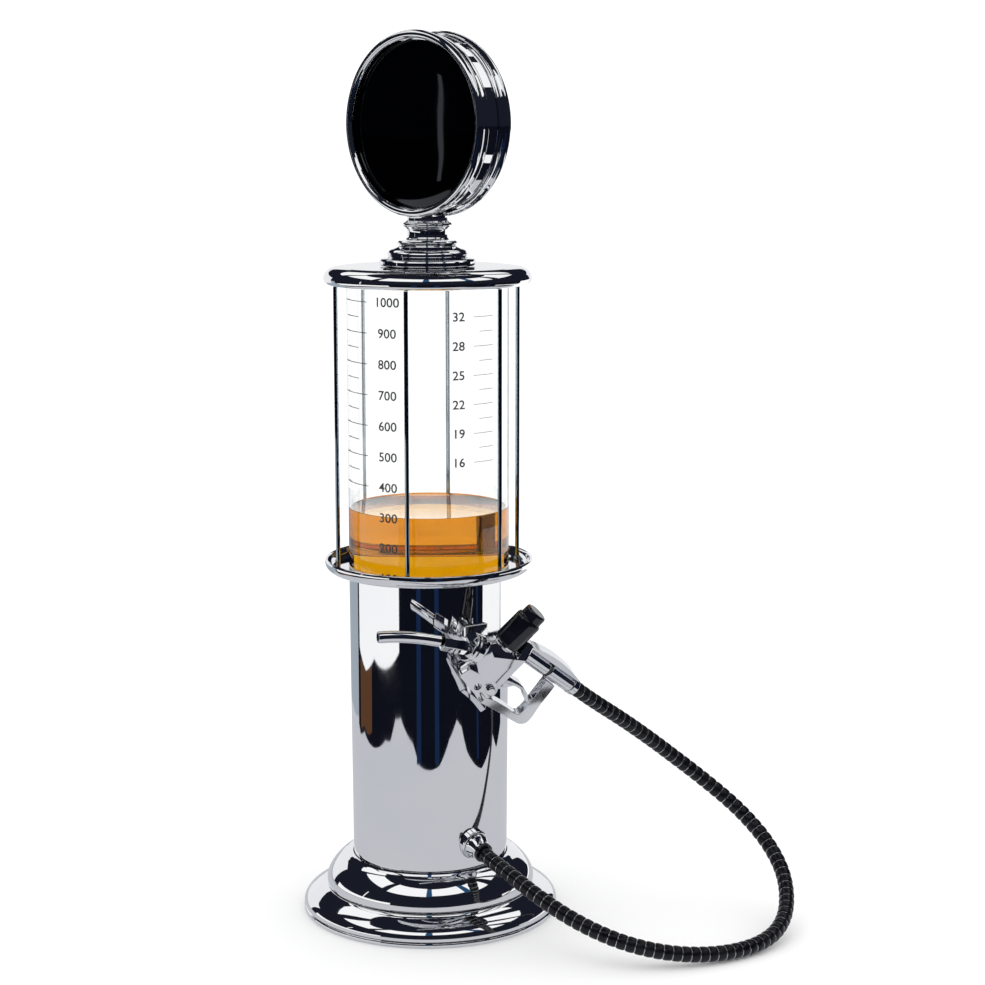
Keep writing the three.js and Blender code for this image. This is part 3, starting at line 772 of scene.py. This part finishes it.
def make_head():
    front = head_matrix()
    back = front @ Matrix.Rotation(math.pi, 4, "Y")
    post = lathe("head_neck", [
        (3.3, 382.3), (11.8, 382.3), (12.1, 382.9), (11.5, 383.5), (11.2, 384.4, "c"), (11.2, 386.8, "c"),
        (11.6, 388.4), (12.2, 389.0, "c"), (13.5, 390.0, "c"), (13.8, 390.9, "c"), (13.4, 391.7, "c"),
        (12.2, 392.2), (11.4, 393.0), (11.2, 394.6, "c"), (11.5, 397.5), (3.3, 397.5),
    ], CHROME, 0.25, 96)
    drum = lathe("drum_space", [(0, -16), (50.65, -16), (50.65, 16), (0, 16)], CHROME, 0, 96, front)
    combine(post, drum, "DIFFERENCE")
    show(post, "head", "neck_post")
    show(lathe("head_drum_band", [
        (46.4, -4.2), (47.8, -4.2), (48.0, -3.6), (48.0, 3.6), (47.8, 4.2), (46.4, 4.2),
    ], CHROME, 0.3, 128, front), "head", "head_band")
    for side, matrix in (("front", front), ("rear", back)):
        show(lathe(f"head_rim_{side}", [
            (46.6, 4.5), (49.3, 4.5), (49.55, 5.3, "c"), (49.45, 6.6, "c"), (49.1, 7.8), (49.3, 8.6),
            (50.1, 9.6, "c"), (50.35, 11.0, "c"), (49.9, 12.5, "c"), (48.6, 13.4, "c"),
            (47.2, 13.3, "c"), (46.1, 12.4), (45.7, 11.8), (46.4, 10.6),
        ], CHROME, 0.2, 144, matrix), "head", f"head_bezel_{side}")
        show(lathe(f"head_mirror_{side}", [
            (0, 10.6), (20, 10.0), (36, 8.8), (45.2, 7.4), (45.2, 9.2), (40, 10.15, "c"),
            (32, 11.2, "c"), (20, 12.1, "c"), (10, 12.5, "c"), (0, 12.62),
        ], MIRROR, 0.2, 144, matrix), "head", f"head_face_{side}")


# ---- hanger -------------------------------------------------------------------------------------


def block(name, low, high, material, bevel):
    points = [(low[0], low[1]), (high[0], low[1]), (high[0], high[1]), (low[0], high[1])]
    return plate(name, points, low[2], high[2], material, bevel, 0.0)


def on_peg_axis(name, radius, low, high, fillet=0.0):
    """A bar on the peg's axis, which leans out in the plane of the valve body's inner face."""
    outer = NOZZLE.to_3x3().col[2]
    lean = (Vector((0, 0, 1)) - outer * outer.z).normalized()
    turn = Vector((0, 0, 1)).rotation_difference(lean).to_matrix().to_4x4()
    place = Matrix.Translation(Vector((54, 0.5, 161.2)) * MM)
    profile = [(0, low), (radius, low), (radius, high), (0, high)]
    return lathe(name, profile, CAST, fillet, 32, place @ turn)


def make_hanger():
    saddle = block("hanger_saddle", (40, -7, 152), (47.2, 8, 174), CAST, 0.8)
    drum = lathe("column_gap", [(0, 100), (45.1, 100), (45.1, 190), (0, 190)], CHROME, 0, 160)
    combine(saddle, drum, "DIFFERENCE")
    show(saddle, "stand", "hanger_plate")
    arm = block("hanger_hook", (47.5, -2.1, 158.4), (56.6, 3.1, 161.2), CAST, 0.5)
    combine(arm, on_peg_axis("peg", 2.0, -1.8, 8.8, 0.6), "UNION")
    show(arm, "stand", "hanger_arm")
    eye = block("nozzle_eye", (49.6, -3.9, 161.5), (66, 4.9, 164), CAST, 0.5)
    space = plate("space", [(-70, -70), (70, -70), (70, 70), (-70, 70)], -7.6, 40, CAST, 0, 0, NOZZLE)
    combine(eye, space, "DIFFERENCE")
    combine(eye, on_peg_axis("hole", 2.4, -12, 12), "DIFFERENCE")
    show(eye, "nozzle", "hanger_eye")


# ---- nozzle -------------------------------------------------------------------------------------


def lengthwise(across, start=0.0, tilt=0.0):
    """Frame of a piece turned about the nozzle's length, at a height across it."""
    place = Matrix.Translation(Vector((start, across, 0)) * MM)
    return NOZZLE @ place @ Matrix.Rotation(math.radians(tilt), 4, "Z") @ ALONG


def crosswise(along):
    """Frame of a piece turned about an axis that points to the knob."""
    return NOZZLE @ Matrix.Translation(Vector((along, 0, 0)) * MM) @ ACROSS


def sidewise(along, across):
    """Frame of a piece turned about an axis across the nozzle's plane."""
    return NOZZLE @ Matrix.Translation(Vector((along, across, 0)) * MM)


def shave(piece, point, normal):
    """Cuts off what lies beyond a plane given in the nozzle's frame, and closes the cut."""
    work = bmesh.new()
    work.from_mesh(piece.data)
    found = bmesh.ops.bisect_plane(
        work, geom=[*work.verts, *work.edges, *work.faces], dist=1e-7,
        plane_co=NOZZLE @ (Vector(point) * MM), plane_no=NOZZLE.to_3x3() @ Vector(normal),
        clear_outer=True,
    )
    edges = [e for e in found["geom_cut"] if isinstance(e, bmesh.types.BMEdge)]
    bmesh.ops.holes_fill(work, edges=edges)
    bmesh.ops.recalc_face_normals(work, faces=work.faces)
    work.to_mesh(piece.data)
    work.free()


def chamfer_plane(a, b, c):
    """Point and outward normal of the plane through three points of the nozzle's outer half."""
    normal = (Vector(b) - Vector(a)).cross(Vector(c) - Vector(a)).normalized()
    return Vector(a), normal if normal.z > 0 else -normal


def make_valve_body():
    body = plate("valve_body", [
        (2.1, -9.5), (16, -8.4), (20.5, -7.2), (22.6, -7.2), (22.6, 20.0), (21.8, 20.7), (18.7, 20.7),
        (17.9, 19.9), (17.9, 10.6), (3.0, 10.6), (0.2, 8.4),
    ], -7.5, 7.5, CAST, 0, 0.5, NOZZLE)
    front = chamfer_plane((-0.5, 4.3, 3.6), (5.6, 4.1, 7.5), (11.0, -6.0, 7.5))
    top = chamfer_plane((5.6, 4.1, 7.5), (19.6, 11.2, 7.5), (4.0, 10.6, 4.4))
    for point, normal in (front, top):
        shave(body, point, normal)
        shave(body, (point.x, point.y, -point.z), (normal.x, normal.y, -normal.z))
    round_edges(body, 0.35, 2, 18)
    for tool in (
        lathe("stem_bore", [(0, 9), (1.6, 9), (1.6, 24), (0, 24)], CAST, 0, 24, lengthwise(STEM_AXIS)),
        lathe("spindle_bore", [(0, -1.5), (2.3, -1.5), (2.3, 12), (0, 12)], CAST, 0, 24,
              crosswise(KNOB_AXIS)),
    ):
        combine(body, tool, "DIFFERENCE")
    show(body, "nozzle", "nozzle_body")


def make_bracket():
    bracket = plate("lever_mount", [
        (2.2, -9.8), (1.2, -12.5), (0.6, -15.2, "c"), (1.6, -16.8, "c"), (4.0, -17.6), (16.2, -20.4),
        (23.8, -23.2), (23.8, -18.9), (26.0, -16.6, "c"), (26.4, -13.6, "c"), (25.6, -11.2, "c"),
        (23.0, -8.6), (20.4, -7.5), (16, -8.7),
    ], -4.5, 4.5, CAST, 0.45, 0.5, NOZZLE)
    slot = plate("slot", [(17.8, -17.6), (30, -17.6), (30, 0), (17.8, 0)], -2.4, 2.4, CAST, 0, 0, NOZZLE)
    combine(bracket, slot, "DIFFERENCE")
    for radius, along, across in ((2.3, 14.2, -15.9), (1.5, *PIVOT)):
        hole = lathe("hole", [(0, -8), (radius, -8), (radius, 8), (0, 8)], CAST, 0, 32,
                     sidewise(along, across))
        combine(bracket, hole, "DIFFERENCE")
    show(bracket, "nozzle", "lever_bracket")


def make_spout():
    """A bent spout with a thin wall and an open mouth."""
    bend = [(-52.6, -25.9), (-46.4, -21.2), (-39.6, -16.8), (-32, -12.6), (-22.5, -8.2)]
    line = spline([(x, y, 0) for x, y in bend], 8)
    count = len(line)
    walls = [*line, *line[::-1]]
    sides = 32
    points, faces = [], []
    for i, p in enumerate(walls):
        j = i if i < count else 2 * count - 1 - i
        along = (line[min(j + 1, count - 1)] - line[max(j - 1, 0)]).normalized()
        up = Vector((-along.y, along.x, 0))
        radius = (2.95 if j == 0 else 3.2) if i < count else 2.3
        for k in range(sides):
            angle = 2 * math.pi * k / sides
            points.append(p + (up * math.cos(angle) + Vector((0, 0, 1)) * math.sin(angle)) * radius)
    total = len(walls)
    for i in range(total):
        m = (i + 1) % total
        for k in range(sides):
            n = (k + 1) % sides
            faces.append([i * sides + k, i * sides + n, m * sides + n, m * sides + k])
    piece = new_piece("spout_pipe", mesh_of("spout_pipe", points, faces, NOZZLE), CHROME)
    show(piece, "nozzle", "spout")


def make_hex_nut():
    corners = [(5.0 * math.cos(math.radians(60 * i)), 5.0 * math.sin(math.radians(60 * i)))
               for i in range(6)]
    matrix = lengthwise(-4.9, -14.4, 22)
    nut = plate("spout_hex_nut", corners, -7.2, 7.2, CAST, 0.5, 0.4, matrix)
    hole = lathe("hole", [(0, -8), (2.5, -8), (2.5, 8), (0, 8)], CAST, 0, 32, matrix)
    combine(nut, hole, "DIFFERENCE")
    show(nut, "nozzle", "spout_nut")


def make_nozzle():
    make_valve_body()
    make_bracket()
    make_spout()
    make_hex_nut()
    show(lathe("front_flange", [
        (2.4, -3.6), (8.2, -3.6), (8.6, -3.2), (8.6, -1.6), (7.9, -1.3), (8.8, -1.0), (8.8, 2.4),
        (2.4, 2.4),
    ], CHROME, 0.25, 64, lengthwise(-0.6, -2.9, 9)), "nozzle", "nozzle_flange")
    for name, node, radius, low, high, material in (
        ("grip_front", "grip_tube", 4.8, 22.9, 41.0, CAST),
        ("grip_band", "grip_ring", 4.4, 41.2, 42.8, RUBBER),
        ("grip_rear", "grip_sleeve", 4.8, 43.0, 60.9, CAST),
        ("grip_end", "tail_ferrule", 5.0, 61.2, 65.0, CHROME),
    ):
        ring = [(2.2, low), (radius, low), (radius, high), (2.2, high)]
        show(lathe(name, ring, material, 0.4, 48, lengthwise(GRIP_AXIS)), "nozzle", node)
    show(plate("grip_top_strap", [
        (22.9, 19.2), (61.6, 19.2), (62.4, 19.7), (58, 20.9, "c"), (53.3, 21.7, "c"),
        (42.6, 22.6, "c"), (32, 22.1, "c"), (22.9, 20.4),
    ], -4, 4, CAST, 0.6, 0.2, NOZZLE), "nozzle", "grip_strap")
    show(plate("guard_bow", [
        (45.9, 9.0), (52.9, 9.0), (53.9, 3.0, "c"), (55.2, -5.4, "c"), (57.2, -14.2, "c"),
        (57.0, -18.0, "c"), (54.6, -20.5, "c"), (47.0, -21.5, "c"), (37.5, -21.9, "c"),
        (30.0, -22.6, "c"), (24.1, -23.4), (24.1, -19.0), (31, -17.5, "c"), (40, -16.9, "c"),
        (46.8, -17.0, "c"), (49.0, -16.2, "c"), (49.4, -12.5, "c"), (48.4, -5.4, "c"),
        (47.2, 2.0, "c"),
    ], -3, 3, CAST, 0.7, 0.4, NOZZLE), "nozzle", "trigger_guard")
    show(lathe("pivot_pin", [
        (0, -4.7), (1.35, -4.7), (1.35, 4.7), (2.8, 4.7), (2.8, 6.0), (2.2, 6.5), (0, 6.5),
    ], CHROME, 0.3, 32, sidewise(*PIVOT)), "nozzle", "trigger_pin")
    show(lathe("knob_seat", [
        (2.3, 10.9), (6.4, 10.9), (6.4, 12.5), (2.3, 12.5),
    ], CHROME, 0.3, 48, crosswise(KNOB_AXIS)), "nozzle", "knob_bonnet")
    make_trigger()
    make_knob()


def make_trigger():
    lever = plate("trigger_blade", [
        (25.4, -5.0), (25.4, -3.4), (31.3, -2.1, "c"), (37.3, -1.8, "c"), (42.8, -3.6, "c"),
        (46.2, -6.2), (45.4, -7.6), (41.6, -5.2, "c"), (36.8, -3.5, "c"), (31.3, -3.8, "c"),
    ], -4.2, 4.2, CAST, 0.35, 0.3, NOZZLE)
    web = plate("web", [
        (21.6, -16.4), (25.2, -15.2), (28.6, -11.2, "c"), (33.0, -6.4, "c"), (35.4, -3.6), (31.0, -3.2),
        (25.4, -3.6), (25.4, -11.2), (21.6, -10.5),
    ], -2.1, 0.6, CAST, 0.25, 0.3, NOZZLE)
    boss = lathe("boss", [(0, -2.1), (3.1, -2.1), (3.1, 0.6), (0, 0.6)], CAST, 0.2, 32,
                 sidewise(*PIVOT))
    hole = lathe("hole", [(0, -8), (1.7, -8), (1.7, 8), (0, 8)], CAST, 0, 32, sidewise(*PIVOT))
    combine(lever, web, "UNION")
    combine(lever, boss, "UNION")
    combine(lever, hole, "DIFFERENCE")
    show(lever, "trigger_lever", "trigger")
    turns, steps = 2.5, 60
    coil = []
    for i in range(steps + 1):
        angle = 2 * math.pi * turns * i / steps
        x, y = PIVOT[0] + 2.25 * math.cos(angle), PIVOT[1] + 2.25 * math.sin(angle)
        coil.append(Vector((x, y, 1.15 + 0.95 * i / steps)))
    spring = swept("pivot_spring", coil, lambda i: 0.14, STEEL)
    spring.data.transform(NOZZLE)
    show(spring, "nozzle", "trigger_spring")
    show(lathe("push_stem", [
        (0, 13), (1.3, 13), (1.3, 25.1), (0, 25.1),
    ], STEEL, 0.3, 24, lengthwise(STEM_AXIS)), "stem", "valve_stem")


def make_knob():
    show(lathe("knob_spindle", [
        (0, 3), (1.9, 3), (1.9, 33.6), (0, 33.6),
    ], STEEL, 0.3, 24, crosswise(KNOB_AXIS)), "knob", "valve_spindle")
    show(lathe("flow_knob", [
        (2.9, 12.8), (6.9, 12.8), (7.6, 13.5), (7.65, 14.4), (7.65, 29.8), (7.3, 31.0, "c"),
        (6.5, 31.5), (6.35, 32.0), (6.3, 35.6), (6.0, 36.5, "c"), (5.2, 36.9), (0, 36.9),
    ], PLASTIC, 0.3, 64, crosswise(KNOB_AXIS)), "knob", "valve_knob")


# ---- studio -------------------------------------------------------------------------------------


def stage_mesh(name, points, faces, material, seen_only_in_gloss=True):
    mesh = bpy.data.meshes.new(name)
    mesh.from_pydata(points, [], faces)
    mesh.materials.append(material)
    thing = bpy.data.objects.new(name, mesh)
    SCENE.collection.objects.link(thing)
    if seen_only_in_gloss:
        thing.visible_camera = False
        thing.visible_diffuse = False
        thing.visible_transmission = False
        thing.visible_shadow = False


def glow(name, color, strength):
    material = bpy.data.materials.new(name)
    material.use_nodes = True
    tree = material.node_tree
    tree.nodes.clear()
    emission = tree.nodes.new("ShaderNodeEmission")
    emission.inputs["Color"].default_value = (*color, 1)
    emission.inputs["Strength"].default_value = strength
    output = tree.nodes.new("ShaderNodeOutputMaterial")
    tree.links.new(emission.outputs["Emission"], output.inputs["Surface"])
    return material


def card(name, azimuths, heights, distance, material):
    """An upright curved panel round the object, seen only in its reflections."""
    parts = 12
    points = []
    for i in range(parts + 1):
        azimuth = azimuths[0] + (azimuths[1] - azimuths[0]) * i / parts
        for height in heights:
            points.append(direction(azimuth) * distance + Vector((0, 0, height)))
    faces = [[2 * i, 2 * i + 2, 2 * i + 3, 2 * i + 1] for i in range(parts)]
    stage_mesh(name, points, faces, material)


def canopy(name, azimuths, elevations, distance, material):
    """A curved softbox above the object, seen only in its reflections."""
    parts = 12
    points = []
    for i in range(parts + 1):
        azimuth = azimuths[0] + (azimuths[1] - azimuths[0]) * i / parts
        for elevation in elevations:
            points.append(direction(azimuth, elevation) * distance)
    faces = [[2 * i, 2 * i + 2, 2 * i + 3, 2 * i + 1] for i in range(parts)]
    stage_mesh(name, points, faces, material)


def sector(name, edge, reach, height, material):
    """A flat patch of floor from an edge of (azimuth, distance) outward, seen only in gloss."""
    points, faces = [], []
    for azimuth, distance in edge:
        points.append(direction(azimuth) * distance + Vector((0, 0, height)))
        points.append(direction(azimuth) * reach + Vector((0, 0, height)))
    for i in range(len(edge) - 1):
        faces.append([2 * i, 2 * i + 1, 2 * i + 3, 2 * i + 2])
    stage_mesh(name, points, faces, material)


# Inner edge of the dark floor round the white table, as (azimuth, distance).
TABLE_EDGE = [
    (-66, 0.42), (-61, 0.395), (-50, 0.405), (-24, 0.375), (-8, 0.40), (0, 0.40), (8, 0.46),
    (16, 0.465), (34, 0.40), (43, 0.348), (70, 0.348), (84, 0.41), (95, 0.46), (102, 0.44),
    (110, 0.375), (134, 0.325), (150, 0.365), (158, 0.40), (167, 0.36), (180, 0.42),
]


def make_studio():
    white = bpy.data.materials.new("floor_white")
    white.use_nodes = True
    surface = white.node_tree.nodes["Principled BSDF"]
    surface.inputs["Base Color"].default_value = (0.93, 0.93, 0.93, 1)
    surface.inputs["Roughness"].default_value = 0.9
    surface.inputs["Specular IOR Level"].default_value = 0.0
    far = 9.0
    corners = [(-far, -far, 0), (far, -far, 0), (far, far, 0), (-far, far, 0)]
    stage_mesh("floor", corners, [[0, 1, 2, 3]], white, False)
    black = glow("card_black", (0.004, 0.005, 0.01), 1)
    lamp = glow("card_lamp", (1, 1, 1), 1)
    grey = glow("card_grey", (0.56, 0.57, 0.6), 1)
    pale = glow("card_pale", (0.88, 0.88, 0.9), 1)
    navy = glow("card_navy", (0.008, 0.02, 0.06), 1)
    cool = glow("card_cool", (0.36, 0.41, 0.46), 1)
    blue = glow("card_blue", (0.02, 0.07, 0.16), 1)
    brown = glow("card_brown", (0.1, 0.045, 0.022), 1)

    sector("grey_table", [(a, 0.0) for a in range(-180, 181, 10)], 0.56, 0.0003, grey)
    sector("dark_floor", TABLE_EDGE, 14.0, 0.0006, black)
    sector("brown_mat", [(-60, 0.41), (-50, 0.42), (-42, 0.40), (-33, 0.41)], 0.62, 0.0009, brown)
    sector("cool_floor", [(-112, 0.5), (-90, 0.46), (-66, 0.44)], 14.0, 0.0009, cool)
    sector("white_mat", [(-62, 0.66), (-46, 0.585), (-28, 0.63), (14, 0.66)], 1.2, 0.0012, lamp)
    for azimuth, width in ((42, 6), (67, 6), (128, 3)):
        sides = (azimuth - width / 2, azimuth + width / 2)
        sector(f"streak_{azimuth}", [(side, 0.35) for side in sides], 3.0, 0.0009, navy)

    card("lamp_left", (-62, 14), (0.0, 0.15), 0.92, lamp)
    card("lamp_right", (138, 178), (0.0, 0.1), 0.72, lamp)
    card("backdrop", (206, 286), (0.0, 0.7), 1.5, pale)
    card("strip", (-21, -19.6), (0.18, 0.66), 1.2, lamp)
    for name, low, high, bottom, top in (
        ("a", -104, -72, 42, 60), ("b", -62, -14, 46, 61), ("c", -4, 51, 44, 63), ("d", 59, 104, 46, 62),
        ("e", 113, 140, 42, 60), ("f", 152, 190, 44, 63), ("g", 200, 240, 46, 62),
    ):
        canopy(f"window_{name}", (low, high), (bottom, top), 1.6, lamp)
    for name, low, high in (("a", 51, 59), ("b", 104, 113)):
        canopy(f"gap_{name}", (low, high), (44, 62), 1.6, blue)

    world = bpy.data.worlds.new("studio")
    SCENE.world = world
    world.use_nodes = True
    tree = world.node_tree
    tree.nodes.clear()
    path = tree.nodes.new("ShaderNodeLightPath")
    room = tree.nodes.new("ShaderNodeBackground")
    room.inputs["Color"].default_value = (0.01, 0.012, 0.02, 1)
    room.inputs["Strength"].default_value = 1
    sky = tree.nodes.new("ShaderNodeBackground")
    sky.inputs["Color"].default_value = (1, 1, 1, 1)
    sky.inputs["Strength"].default_value = 1.25
    mix = tree.nodes.new("ShaderNodeMixShader")
    output = tree.nodes.new("ShaderNodeOutputWorld")
    mirrored = tree.nodes.new("ShaderNodeMath")
    mirrored.operation = "SUBTRACT"
    mirrored.use_clamp = True
    tree.links.new(path.outputs["Is Glossy Ray"], mirrored.inputs[0])
    tree.links.new(path.outputs["Is Transmission Ray"], mirrored.inputs[1])
    tree.links.new(mirrored.outputs["Value"], mix.inputs["Fac"])
    tree.links.new(sky.outputs["Background"], mix.inputs[1])
    tree.links.new(room.outputs["Background"], mix.inputs[2])
    tree.links.new(mix.outputs["Shader"], output.inputs["Surface"])
    SCENE.view_settings.view_transform = "Standard"


make_base()
make_tank()
make_marks()
make_outlet()
dress_hidden_nodes()
make_lid()
make_head()
make_hanger()
make_nozzle()
make_studio()
